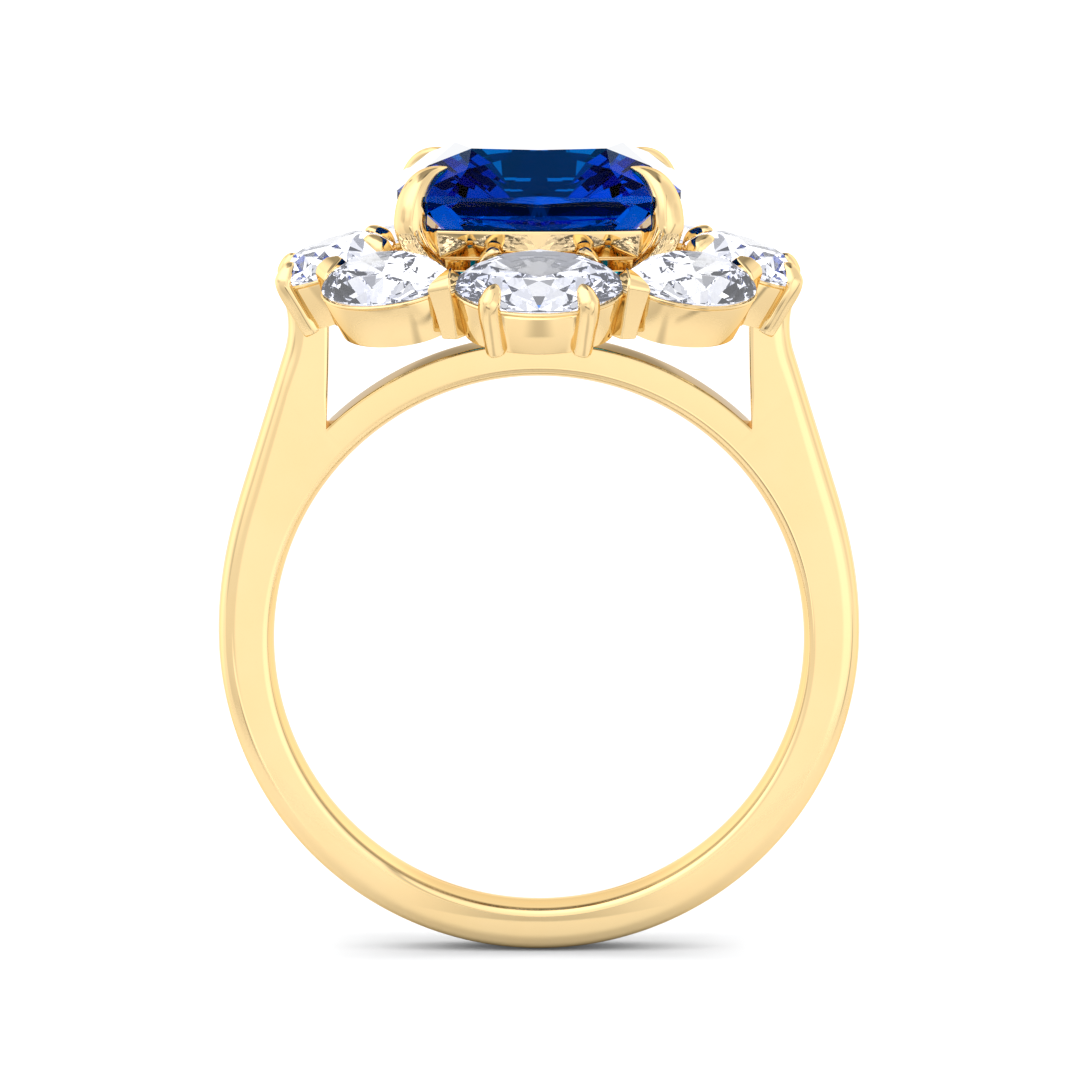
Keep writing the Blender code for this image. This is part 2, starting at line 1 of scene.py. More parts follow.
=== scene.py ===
"""Looks of the engagement ring: fine gold work, cut stones, a white studio and the camera.

Lengths are in millimetres, and are scaled to metres as each mesh is made. Inside materials they
are in metres.
"""
import math

import bmesh
import bpy
from mathutils import Matrix, Vector


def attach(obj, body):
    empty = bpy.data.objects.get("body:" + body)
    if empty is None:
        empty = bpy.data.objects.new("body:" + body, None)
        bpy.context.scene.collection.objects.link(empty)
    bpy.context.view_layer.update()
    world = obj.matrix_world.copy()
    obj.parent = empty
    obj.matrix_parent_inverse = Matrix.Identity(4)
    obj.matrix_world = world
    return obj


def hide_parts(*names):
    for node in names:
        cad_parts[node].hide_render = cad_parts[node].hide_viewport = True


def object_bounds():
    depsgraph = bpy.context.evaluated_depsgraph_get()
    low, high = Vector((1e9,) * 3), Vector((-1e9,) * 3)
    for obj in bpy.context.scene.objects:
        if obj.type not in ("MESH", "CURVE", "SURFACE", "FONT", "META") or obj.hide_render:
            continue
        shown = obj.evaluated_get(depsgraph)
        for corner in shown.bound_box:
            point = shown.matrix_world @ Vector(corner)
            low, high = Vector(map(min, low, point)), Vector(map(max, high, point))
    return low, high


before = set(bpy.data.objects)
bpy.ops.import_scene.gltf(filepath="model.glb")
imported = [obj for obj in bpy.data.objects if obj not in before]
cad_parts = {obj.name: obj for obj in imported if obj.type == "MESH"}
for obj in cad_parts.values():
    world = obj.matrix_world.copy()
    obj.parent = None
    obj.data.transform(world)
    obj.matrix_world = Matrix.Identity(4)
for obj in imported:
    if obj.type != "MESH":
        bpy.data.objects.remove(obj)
cad_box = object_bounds()

MM = 0.001

# The band and its shoulders.
HOLE_RADIUS = 8.45
BAND_WIDTH = 2.3
BAND_OUTER_RADIUS = 10.24
BAND_OUTER_RISE = 0.265
BAND_CROWN = 0.05
DOME_RISE = 0.13
INNER_FILLET = 0.26
OUTER_FILLET = (0.52, 0.55)
SHOULDER_START = (9.45, 4.90)
SHOULDER_LEAN = 0.31
SHOULDER_HANDLES = (1.8, 1.3)
SHOULDER_TOP = 10.75
SHOULDER_FLARE = (9.2, 0.184)
SHOULDER_INNER = 6.66
SHOULDER_SPLIT = 1.62
SHOULDER_FILLET = 0.16
BRIDGE_RADIUS = 9.63
BRIDGE_ANGLE = 45.3
BRIDGE_FILLET = 0.07
BRIDGE_CROWN = 0.005

# The basket.
CLAW_RADIUS = 5.70
CLAW_WIDTH = 1.0
CLAW_FOOT = (1.36, 9.72)
UPPER_RAIL_Z = (12.61, 13.51)
UPPER_RAIL_HALF = 3.21
UPPER_RAIL_REACH = 4.10
UPPER_RAIL_BOW = 0.30
UPPER_RAIL_WALL = 0.42

# The halo.
TILT = 19.0
AXIS_OVAL = dict(a=2.635, b=1.93, radius=6.47, z=12.04)
DIAGONAL_OVAL = dict(a=2.33, b=1.70, radius=6.83, z=11.96)
COLLET_DEPTH = 1.65
COLLET_TAPER = (0.30, 0.33)
PANEL_HALF = 1.10
PANEL_LIFT = 0.045
HALO_CLAW_T = 1.52
HALO_CLAW_WIDTH = 0.74
HALO_CLAW_THICK = 0.40
BAR_ANGLE = 24.0

# The camera: distance from the finger's centre, height above the horizon, focal length.
CAMERA_DISTANCE = 330.0
CAMERA_ELEVATION = 8.1
CAMERA_LENS = 344.37
CAMERA_AIM = (0.032, 0.0, 3.16)

# The light: the studio's level, what light leaving a stone gains, and the plain background.
STUDIO_LEVEL = 1.08
STONE_GAIN = 0.50
PLAIN_LEVEL = 1.56

# Painted shade: how much of each colour gold keeps when it is seen in other gold.
SEEN_IN_GOLD = (0.80, 0.86, 0.95)

# The floor: its half width, and how light it is where gold mirrors it.
FLOOR_HALF = 1500.0
FLOOR_IN_GOLD = 0.74


# ---------------------------------------------------------------- node building

class Net:
    """Short calls for building a node tree."""

    def __init__(self, tree):
        self.tree = tree
        tree.nodes.clear()

    def node(self, kind, **settings):
        """A new node with its properties set."""
        made = self.tree.nodes.new(kind)
        for key, value in settings.items():
            setattr(made, key, value)
        return made

    def put(self, value, socket):
        """Link an output, or set a plain value."""
        if isinstance(value, bpy.types.NodeSocket):
            self.tree.links.new(value, socket)
        else:
            socket.default_value = value

    def math(self, operation, *values):
        """A Math node over sockets and numbers."""
        made = self.node("ShaderNodeMath", operation=operation)
        for value, socket in zip(values, made.inputs):
            self.put(value, socket)
        return made.outputs[0]

    def remap(self, value, low, high, to_low, to_high):
        """A smooth, clamped change of range."""
        made = self.node("ShaderNodeMapRange", interpolation_type="SMOOTHSTEP")
        for item, socket in zip((value, low, high, to_low, to_high), made.inputs):
            self.put(item, socket)
        return made.outputs[0]

    def noise(self, vector, scale, detail=2.0, rough=0.5):
        """A noise value between 0 and 1."""
        made = self.node("ShaderNodeTexNoise")
        self.put(vector, made.inputs["Vector"])
        made.inputs["Scale"].default_value = scale
        made.inputs["Detail"].default_value = detail
        made.inputs["Roughness"].default_value = rough
        return made.outputs[0]

    def mix(self, share, first, second):
        """A blend of two colours."""
        made = self.node("ShaderNodeMix", data_type="RGBA")
        self.put(share, made.inputs[0])
        self.put(first, made.inputs[6])
        self.put(second, made.inputs[7])
        return made.outputs[2]


def gold_material(name, wrapped, deep=(1.0, 0.750, 0.392), pale=(1.0, 0.735, 0.372), glow=0.0):
    """Polished gold, clouded between a deep and a pale colour.

    Wrapped polishing lines run round the finger. Glow is painted light: an emission of that strength
    replaces the gold where it is seen through a stone.
    """
    material = bpy.data.materials.new(name)
    material.use_nodes = True
    net = Net(material.node_tree)
    coords = net.node("ShaderNodeTexCoord").outputs["Object"]
    if wrapped:
        split = net.node("ShaderNodeSeparateXYZ")
        net.put(coords, split.inputs[0])
        x, y, z = split.outputs
        around = net.math("MULTIPLY", net.math("ARCTAN2", z, x), 0.0008)
        reach = net.math("SQRT", net.math("ADD", net.math("MULTIPLY", x, x),
                                          net.math("MULTIPLY", z, z)))
        lanes = net.node("ShaderNodeCombineXYZ")
        net.put(around, lanes.inputs[0])
        net.put(y, lanes.inputs[1])
        net.put(reach, lanes.inputs[2])
        grain = net.noise(lanes.outputs[0], 9000.0, 3.0, 0.6)
    else:
        grain = net.noise(coords, 16000.0, 2.0, 0.6)
    cloud = net.noise(coords, 420.0, 3.0, 0.55)
    colour = net.mix(net.remap(cloud, 0.3, 0.7, 0.0, 1.0), (*deep, 1.0), (*pale, 1.0))
    sheen = (1.0, 0.83, 0.56, 1.0)
    # Painted shade: a dark line along the inner arris, and a darker top of the bridge.
    if wrapped:
        colour, sheen = paint_shade_places(net, colour, sheen, x, y, z, reach)
    gloss = net.math("ADD", net.remap(grain, 0.25, 0.75, 0.020, 0.040),
                     net.remap(cloud, 0.3, 0.7, 0.0, 0.015))
    ripple = net.math("ADD", grain, net.math("MULTIPLY", cloud, 5.0))
    bump = net.node("ShaderNodeBump")
    bump.inputs["Strength"].default_value = 0.35
    bump.inputs["Distance"].default_value = 0.0000006
    net.put(ripple, bump.inputs["Height"])
    # Painted shade: reflected in other gold, the gold takes a darker, less orange colour.
    rays = net.node("ShaderNodeLightPath")
    shade = (*(part * kept for part, kept in zip(deep, SEEN_IN_GOLD)), 1.0)
    colour = net.mix(rays.outputs["Is Glossy Ray"], colour, shade)
    shader = net.node("ShaderNodeBsdfPrincipled")
    net.put(colour, shader.inputs["Base Color"])
    shader.inputs["Metallic"].default_value = 1.0
    net.put(sheen, shader.inputs["Specular Tint"])
    net.put(gloss, shader.inputs["Roughness"])
    net.put(bump.outputs[0], shader.inputs["Normal"])
    surface = shader.outputs[0]
    # Painted light: seen through a stone, the gold is replaced by a glowing emission.
    if glow:
        light = net.node("ShaderNodeEmission")
        net.put(net.mix(grain, (0.80, 0.82, 0.90, 1.0), (1.0, 1.0, 1.0, 1.0)), light.inputs["Color"])
        light.inputs["Strength"].default_value = glow
        blend = net.node("ShaderNodeMixShader")
        net.put(net.math("GREATER_THAN", rays.outputs["Transmission Depth"], 0.5), blend.inputs[0])
        net.put(surface, blend.inputs[1])
        net.put(light.outputs[0], blend.inputs[2])
        surface = blend.outputs[0]
    output = net.node("ShaderNodeOutputMaterial")
    net.put(surface, output.inputs["Surface"])
    return material


def paint_shade_places(net, colour, sheen, x, y, z, reach):
    """Paint shade onto the band: a dark line along the arris round the inside of the band, stronger low
    down, and a darker colour and sheen on the upper side of the bridge, under the head.

    Both lie at a known distance, reach, from the finger's axis. All lengths here are in metres.
    """
    line = net.math("MULTIPLY", net.remap(reach, 0.00856, 0.00859, 0.0, 1.0),
                    net.remap(reach, 0.00863, 0.00867, 1.0, 0.0))
    line = net.math("MULTIPLY", line, net.remap(net.math("ABSOLUTE", y), 0.00088, 0.00094, 0.0, 1.0))
    line = net.math("MULTIPLY", line, net.remap(z, -0.0070, 0.0005, 0.62, 0.12))
    above = net.math("MULTIPLY", net.remap(reach, 0.00953, 0.00959, 0.0, 1.0),
                     net.remap(reach, 0.00966, 0.00972, 1.0, 0.0))
    above = net.math("MULTIPLY", above, net.remap(z, 0.0060, 0.0064, 0.0, 1.0))
    above = net.math("MULTIPLY", above, net.remap(net.math("ABSOLUTE", x), 0.0066, 0.0068, 0.75, 0.0))
    # Painted shade colours: the dark arris line, then the darker bridge top and its sheen.
    colour = net.mix(line, colour, (0.22, 0.14, 0.05, 1.0))
    return (net.mix(above, colour, (0.54, 0.38, 0.14, 1.0)),
            net.mix(above, sheen, (0.50, 0.35, 0.11, 1.0)))


def stone_material(name, clear, tinted, ior, sheen, absorb=None, density=0.0, fire=0.0):
    """A cut stone: polished, refracting, with faint zoning and an optional body colour.

    Sheen is the Fresnel range over which it comes to mirror its surroundings, so it mirrors more than
    a real stone at shallow angles and less from above. Fire is light that a real stone doesn't have,
    added at each bounce inside it.
    """
    material = bpy.data.materials.new(name)
    material.use_nodes = True
    net = Net(material.node_tree)
    coords = net.node("ShaderNodeTexCoord").outputs["Object"]
    zones = net.noise(coords, 500.0, 2.0, 0.5)
    polish = net.remap(net.noise(coords, 9000.0, 2.0, 0.5), 0.4, 0.9, 0.0, 0.004)
    colour = net.mix(net.remap(zones, 0.35, 0.65, 0.0, 1.0), (*clear, 1.0), (*tinted, 1.0))
    inside = net.node("ShaderNodeBsdfGlass")
    entering = net.node("ShaderNodeBsdfRefraction")
    for part in (inside, entering):
        net.put(colour, part.inputs["Color"])
        net.put(polish, part.inputs["Roughness"])
        part.inputs["IOR"].default_value = ior
    mirror = net.node("ShaderNodeBsdfGlossy")
    mirror.inputs["Color"].default_value = (0.97, 0.98, 1.0, 1.0)
    mirror.inputs["Roughness"].default_value = 0.0
    slant = net.node("ShaderNodeFresnel")
    slant.inputs["IOR"].default_value = ior
    outside = net.node("ShaderNodeMixShader")
    net.put(net.remap(slant.outputs[0], *sheen, 0.01, 1.0), outside.inputs[0])
    net.put(entering.outputs[0], outside.inputs[1])
    net.put(mirror.outputs[0], outside.inputs[2])
    blend = net.node("ShaderNodeMixShader")
    net.put(net.node("ShaderNodeNewGeometry").outputs["Backfacing"], blend.inputs[0])
    net.put(outside.outputs[0], blend.inputs[1])
    spark = net.node("ShaderNodeEmission")
    spark.inputs["Color"].default_value = (0.92, 0.94, 1.0, 1.0)
    spark.inputs["Strength"].default_value = fire
    bounce = net.node("ShaderNodeAddShader")
    net.put(inside.outputs[0], bounce.inputs[0])
    net.put(spark.outputs[0], bounce.inputs[1])
    net.put(bounce.outputs[0], blend.inputs[2])
    output = net.node("ShaderNodeOutputMaterial")
    net.put(blend.outputs[0], output.inputs["Surface"])
    if absorb:
        body = net.node("ShaderNodeVolumeAbsorption")
        body.inputs["Color"].default_value = (*absorb, 1.0)
        body.inputs["Density"].default_value = density
        net.put(body.outputs[0], output.inputs["Volume"])
    return material


# ---------------------------------------------------------------- mesh helpers

def skin(bm, rings, first=False, last=False, closed=False):
    """Add a tube through rings of equal length and return its faces, one list for each span.

    It can have a flat face over its first or last ring, or close on itself.
    """
    rows = [[bm.verts.new(point) for point in ring] for ring in rings]
    count = len(rows[0])
    following = rows[1:] + rows[:1] if closed else rows[1:]
    spans = []
    for row, after in zip(rows, following):
        span = []
        for i in range(count):
            j = (i + 1) % count
            span.append(bm.faces.new((row[i], row[j], after[j], after[i])))
        spans.append(span)
    if first:
        bm.faces.new(rows[0])
    if last:
        bm.faces.new(rows[-1])
    return spans


def loft(rings):
    """A closed body through rings of equal length, with flat faces at its ends."""
    bm = bmesh.new()
    skin(bm, rings, first=True, last=True)
    bmesh.ops.remove_doubles(bm, verts=bm.verts, dist=1e-5)
    bmesh.ops.dissolve_degenerate(bm, edges=bm.edges, dist=1e-5)
    return bm


def add_piece(bm, name, matrix, replaced, sharp, bevel=0.0):
    """Turn a bmesh in millimetres into a gold piece that stands for some CAD nodes.

    Edges over the angle sharp, in degrees, stay crisp, or are rounded by bevel if it is given.
    """
    bmesh.ops.recalc_face_normals(bm, faces=bm.faces)
    bmesh.ops.scale(bm, vec=(MM, MM, MM), verts=bm.verts)
    bmesh.ops.transform(bm, matrix=matrix, verts=bm.verts)
    mesh = bpy.data.meshes.new(name)
    bm.to_mesh(mesh)
    bm.free()
    mesh.materials.append(gold)
    obj = bpy.data.objects.new(name, mesh)
    bpy.context.scene.collection.objects.link(obj)
    if bevel:
        rounding = obj.modifiers.new("Rounding", "BEVEL")
        rounding.width = bevel * MM
        rounding.segments = 3
        rounding.limit_method = "ANGLE"
        rounding.angle_limit = math.radians(sharp)
        rounding.harden_normals = True
    mesh.shade_smooth()
    if not bevel:
        mesh.set_sharp_from_angle(angle=math.radians(sharp))
    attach(obj, "root")
    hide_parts(*replaced)
    return obj


def bezier(points, t):
    """A point on the Bezier curve with these control points."""
    while len(points) > 1:
        points = [p.lerp(q, t) for p, q in zip(points, points[1:])]
    return points[0]


def spline(rows, x):
    """Smooth interpolation through rows of numbers at the position x, counted in rows."""
    k = min(int(x), len(rows) - 2)
    t = x - k
    before, here = rows[max(k - 1, 0)], rows[k]
    there, after = rows[k + 1], rows[min(k + 2, len(rows) - 1)]
    values = []
    for p, q, r, s in zip(before, here, there, after):
        values.append(0.5 * (2.0 * q + (r - p) * t + (2.0 * p - 5.0 * q + 4.0 * r - s) * t * t
                             + (3.0 * q - p - 3.0 * r + s) * t ** 3))
    return values


def polar(radius, degrees):
    """A point in the plane of the ring as (x, z)."""
    angle = math.radians(degrees)
    return Vector((radius * math.cos(angle), radius * math.sin(angle)))


# ---------------------------------------------------------------- band

def band_section(inner, outer, dome, inner_fillet, outer_fillet, crown):
    """One section of the band, from its inner point to its outer point, both (x, z).

    The inside is domed, falling away by dome at its edges, and the outside is crowned.
    """
    reach = (outer - inner).length
    direction = (outer - inner) / reach
    half = BAND_WIDTH / 2.0
    flat = half - inner_fillet * 0.75
    right = []
    for k in range(1, 7):
        y = flat * k / 6.0
        right.append((y, dome * (y / flat) ** 2))
    for k in range(1, 9):
        turn = math.radians(11.25 * k)
        right.append((flat + (half - flat) * math.sin(turn),
                      dome + inner_fillet * (1.0 - math.cos(turn))))
    for k in range(13):
        turn = math.radians(7.5 * k)
        right.append((half - outer_fillet * (1.0 - math.cos(turn)),
                      reach - crown - outer_fillet * (1.0 - math.sin(turn))))
    for k in range(1, 4):
        y = (half - outer_fillet) * (1.0 - k / 4.0)
        right.append((y, reach - crown * (y / (half - outer_fillet)) ** 2))
    profile = [(0.0, 0.0)] + right + [(0.0, reach)] + [(-y, s) for y, s in reversed(right)]
    ring = []
    for y, s in profile:
        point = inner + direction * s
        ring.append(Vector((point.x, y, point.y)))
    return ring


def shoulder_outer(t):
    """The outer line of the band above the finger's centre.

    From t = 0 it curves up to SHOULDER_START at t = 1, then leans in and flares out to the top at t = 2.
    """
    start = Vector((BAND_OUTER_RADIUS, BAND_OUTER_RISE))
    end = Vector(SHOULDER_START)
    if t <= 1.0:
        below, above = SHOULDER_HANDLES
        handle = Vector((-SHOULDER_LEAN, 1.0)) * above
        return bezier([start, start + Vector((0.0, below)), end - handle, end], t)
    z = end.y + (SHOULDER_TOP - end.y) * (t - 1.0)
    flare = SHOULDER_FLARE[1] * max(z - SHOULDER_FLARE[0], 0.0) ** 2
    return Vector((end.x - SHOULDER_LEAN * (z - end.y) + flare, z))


def band_stations():
    """(inner, outer, whole) of each section, from the bottom of the band to the top of a shoulder.

    A whole section reaches the finger; the others are above the bridge.
    """
    stations = []
    for k in range(60):
        angle = -90.0 + 90.0 * k / 60.0
        direction = polar(1.0, angle)
        rise = BAND_OUTER_RISE * direction.y
        spread = BAND_OUTER_RADIUS ** 2 - BAND_OUTER_RISE ** 2 + rise ** 2
        stations.append((polar(HOLE_RADIUS, angle), direction * (rise + math.sqrt(spread)), True))
    for k in range(37):
        f = k / 36.0
        stations.append((polar(HOLE_RADIUS, BRIDGE_ANGLE * f), shoulder_outer(SHOULDER_SPLIT * f), True))
    crotch = crotch_point()
    for k in range(17):
        f = k / 16.0
        z = crotch.y + (SHOULDER_TOP - crotch.y) * f
        x = crotch.x + (SHOULDER_INNER - crotch.x) * math.sin(math.pi * f / 2.0)
        t = SHOULDER_SPLIT + (2.0 - SHOULDER_SPLIT) * f
        stations.append((Vector((x, z)), shoulder_outer(t), False))
    return stations


def crotch_point():
    """Where the bridge's outer circle meets the last whole section of the band."""
    inner, outer = polar(HOLE_RADIUS, BRIDGE_ANGLE), shoulder_outer(SHOULDER_SPLIT)
    step = (outer - inner).normalized()
    along = inner.dot(step)
    return inner + step * (math.sqrt(along ** 2 + BRIDGE_RADIUS ** 2 - HOLE_RADIUS ** 2) - along)


def make_band():
    """The band, its shoulders and the bridge, soldered into one.

    Fillets grow from nothing over the first few sections of a shoulder and at the ends of the bridge.
    """
    lower, shoulder = [], []
    for inner, outer, whole in band_stations():
        share = min(max(outer.y / HOLE_RADIUS + 1.0, 0.0), 1.0)
        rounding = OUTER_FILLET[0] + (OUTER_FILLET[1] - OUTER_FILLET[0]) * share
        rounding = min(rounding, (outer - inner).length * 0.45)
        if whole:
            lower.append(band_section(inner, outer, DOME_RISE, INNER_FILLET, rounding, BAND_CROWN))
        else:
            fillet = SHOULDER_FILLET * min((len(shoulder) + 1.0) / 5.0, 1.0)
            shoulder.append(band_section(inner, outer, 0.0, fillet, rounding, BAND_CROWN))
    crotch = crotch_point()
    start = math.degrees(math.atan2(crotch.y, crotch.x))
    arch = []
    for k in range(61):
        f = k / 60.0
        under = BRIDGE_ANGLE + (180.0 - 2.0 * BRIDGE_ANGLE) * f
        over = start + (180.0 - 2.0 * start) * f
        edge = BRIDGE_FILLET * min((min(k, 60 - k) + 1.0) / 5.0, 1.0)
        arch.append(band_section(polar(HOLE_RADIUS, under), polar(BRIDGE_RADIUS, over),
                                 DOME_RISE, INNER_FILLET, edge, BRIDGE_CROWN))

    def mirrored(rings):
        return [[Vector((-p.x, p.y, p.z)) for p in ring] for ring in rings]

    bm = bmesh.new()
    skin(bm, list(reversed(mirrored(lower)))[:-1] + lower)
    skin(bm, shoulder, last=True)
    skin(bm, mirrored(shoulder), last=True)
    skin(bm, arch)
    bmesh.ops.remove_doubles(bm, verts=bm.verts, dist=1e-3)
    bmesh.ops.holes_fill(bm, edges=[edge for edge in bm.edges if edge.is_boundary], sides=0)
    piece = add_piece(bm, "band", Matrix.Identity(4), ["shank", "bridge"], 28.0)
    even = piece.modifiers.new("FlatFaces", "WEIGHTED_NORMAL")
    even.keep_sharp = True
    even.weight = 100
    return piece


# ---------------------------------------------------------------- halo

def halo_frame(spec, azimuth):
    """Placement of an oval: its local X runs round the halo, Y outward, Z out of the table."""
    angle = math.radians(azimuth)
    place = Vector((math.cos(angle), math.sin(angle), 0.0)) * spec["radius"]
    place.z = spec["z"]
    turn = Matrix.Rotation(angle - math.pi / 2.0, 4, "Z")
    lean = Matrix.Rotation(-math.radians(TILT), 4, "X")
    return Matrix.Translation(place * MM) @ turn @ lean


def make_collet(spec, name, matrix, number, panelled):
    """A tapered oval cup, open below; the middle of its wall stands proud if it is panelled.

    Each row of the profile is the cup's two half widths, its height and its share of the panel.
    """
    a, b = spec["a"], spec["b"]
    low_a, low_b = a - COLLET_TAPER[0], b - COLLET_TAPER[1]
    profile = [
        (a - 0.13, b - 0.13, -0.13, 0.0),
        (a - 0.04, b - 0.04, -0.095, 0.0),
        (a + 0.03, b + 0.03, -0.10, 0.0),
        (a + 0.058, b + 0.058, -0.13, 0.0),
        (a + 0.060, b + 0.060, -0.17, 0.0),
        (a + 0.030, b + 0.030, -0.205, 0.0),
        (a + 0.004, b + 0.004, -0.225, 0.0),
        (a + 0.004, b + 0.004, -0.25, 0.3),
        (a + 0.010, b + 0.010, -0.275, 1.0),
        (low_a + 0.008, low_b + 0.008, -COLLET_DEPTH + 0.05, 1.0),
        (low_a - 0.010, low_b - 0.010, -COLLET_DEPTH + 0.012, 0.6),
        (low_a - 0.05, low_b - 0.05, -COLLET_DEPTH, 0.0),
        (low_a - 0.25, low_b - 0.25, -COLLET_DEPTH, 0.0),
        (a - 0.50, b - 0.50, -0.62, 0.0),
    ]
    count = 144
    rings = []
    for x, y, z, raised in profile:
        ring = []
        for k in range(count):
            angle = 2.0 * math.pi * k / count
            inside = panelled and abs(a * math.cos(angle)) < PANEL_HALF
            lift = PANEL_LIFT * raised if inside else 0.0
            ring.append(((x + lift) * math.cos(angle), (y + lift) * math.sin(angle), z))
        rings.append(ring)
    bm = bmesh.new()
    *_, inner_wall, seat = skin(bm, rings, closed=True)
    # The inner wall and seat are pale white metal that glows with painted light where seen through the
    # stone.
    for face in inner_wall + seat:
        face.material_index = 1
    piece = add_piece(bm, name, matrix, ["collet_%d" % number], 32.0)
    piece.data.materials.append(pale_glowing_seat)
    return piece


def claw_section(base, across, out, width, thick, ridge):
    """A flat-backed section standing on the base point, rounded or drawn up to a ridge."""
    steps = 16
    ring = []
    for k in range(steps + 1):
        turn = math.pi * k / steps
        x = -math.cos(turn)
        round_y = math.sin(turn) ** 0.8
        ridge_y = (1.0 - abs(x)) ** 0.62
        y = round_y + (ridge_y - round_y) * ridge
        ring.append(base + across * (x * width / 2.0) + out * (y * thick))
    return ring


def make_halo_claw(name, matrix, number, side):
    """A claw on the outer wall of an axis collet, hooked over the oval's girdle.

    Each station is a point, the way the claw faces there, and its shares of full width and thickness.
    """
    a, b = AXIS_OVAL["a"], AXIS_OVAL["b"]
    wall_t = (HALO_CLAW_T, HALO_CLAW_T * (a - COLLET_TAPER[0]) / a)
    high = Vector((side * wall_t[0], b * math.sqrt(1.0 - (wall_t[0] / a) ** 2), 0.0))
    normal = Vector((high.x / a ** 2, high.y / b ** 2, 0.0)).normalized()
    across = Vector((normal.y, -normal.x, 0.0))
    low_a, low_b = a - COLLET_TAPER[0], b - COLLET_TAPER[1]
    low = Vector((side * wall_t[1], low_b * math.sqrt(1.0 - (wall_t[1] / low_a) ** 2),
                  -COLLET_DEPTH))
    up = Vector((0.0, 0.0, 1.0))
    wall = (high + normal * 0.06 - up * 0.15 - low).normalized()
    out = (normal - wall * normal.dot(wall)).normalized()
    upper = high + normal * 0.06 - up * 0.15
    sunk = out * -0.05
    stations = [
        (low - wall * 0.06, out, 0.62, 0.55),
        (low, out, 0.86, 0.98),
        (low.lerp(upper, 0.5), out, 0.94, 1.0),
        (low.lerp(upper, 0.92), out, 0.99, 1.0),
        (high + normal * 0.075 + up * 0.06, normal * 0.93 + up * 0.36, 0.98, 0.92),
        (high - normal * 0.03 + up * 0.20, normal * 0.72 + up * 0.70, 0.90, 0.88),
        (high - normal * 0.14 + up * 0.33, normal * 0.48 + up * 0.88, 0.78, 0.74),
        (high - normal * 0.26 + up * 0.44, normal * 0.30 + up * 0.95, 0.60, 0.52),
        (high - normal * 0.36 + up * 0.52, normal * 0.20 + up * 0.98, 0.30, 0.22),
    ]
    rows = [(*(p + sunk), *aim.normalized(), width, thick) for p, aim, width, thick in stations]
    rings = []
    steps = 6
    ridge = 0.35
    for k in range((len(rows) - 1) * steps + 1):
        values = spline(rows, k / steps)
        aim = Vector(values[3:6]).normalized()
        rings.append(claw_section(Vector(values[:3]), across, aim,
                                  HALO_CLAW_WIDTH * values[6], HALO_CLAW_THICK * values[7], ridge))
    piece = add_piece(loft(rings), name, matrix, ["halo_claw_%02d" % number], 50.0)
    piece.data.materials[0] = halo_gold
    return piece


def make_bar(name, number, matrix, side):
    """The flat-faced bar between two collets, its tip hooked up toward the axis oval.

    Local X points outward from the Z axis; the axis oval lies at side * Y. Each section gives the
    near and the far front corner as (x, z, half width), then the back as (x, z, near and far half width).
    """
    sections = [
        ((6.92, 10.30, 0.28), (6.92, 10.30, 0.26), (6.30, 10.40, 0.44, 0.18)),
        ((7.30, 11.20, 0.34), (7.30, 11.20, 0.36), (6.45, 11.20, 0.50, 0.21)),
        ((7.60, 12.05, 0.34), (7.60, 11.88, 0.47), (6.45, 11.90, 0.36, 0.21)),
        ((7.54, 12.30, 0.29), (7.50, 12.06, 0.43), (6.50, 12.06, 0.21, 0.21)),
        ((7.28, 12.52, 0.22), (7.22, 12.28, 0.30), (6.58, 12.24, 0.18, 0.18)),
        ((6.90, 12.60, 0.11), (6.90, 12.50, 0.12), (6.70, 12.42, 0.09, 0.09)),
    ]
    rings = []
    for (x, z, near), (far_x, far_z, far), (back, back_z, near_back, far_back) in sections:
        rings.append([Vector((x, side * near, z)), Vector((far_x, -side * far, far_z)),
                      Vector((back, -side * far_back, back_z)), Vector((back, side * near_back, back_z))])
    piece = add_piece(loft(rings), name, matrix, ["bar_%d" % number], 20.0, 0.08)
    piece.data.materials[0] = halo_gold
    return piece


# ---------------------------------------------------------------- basket

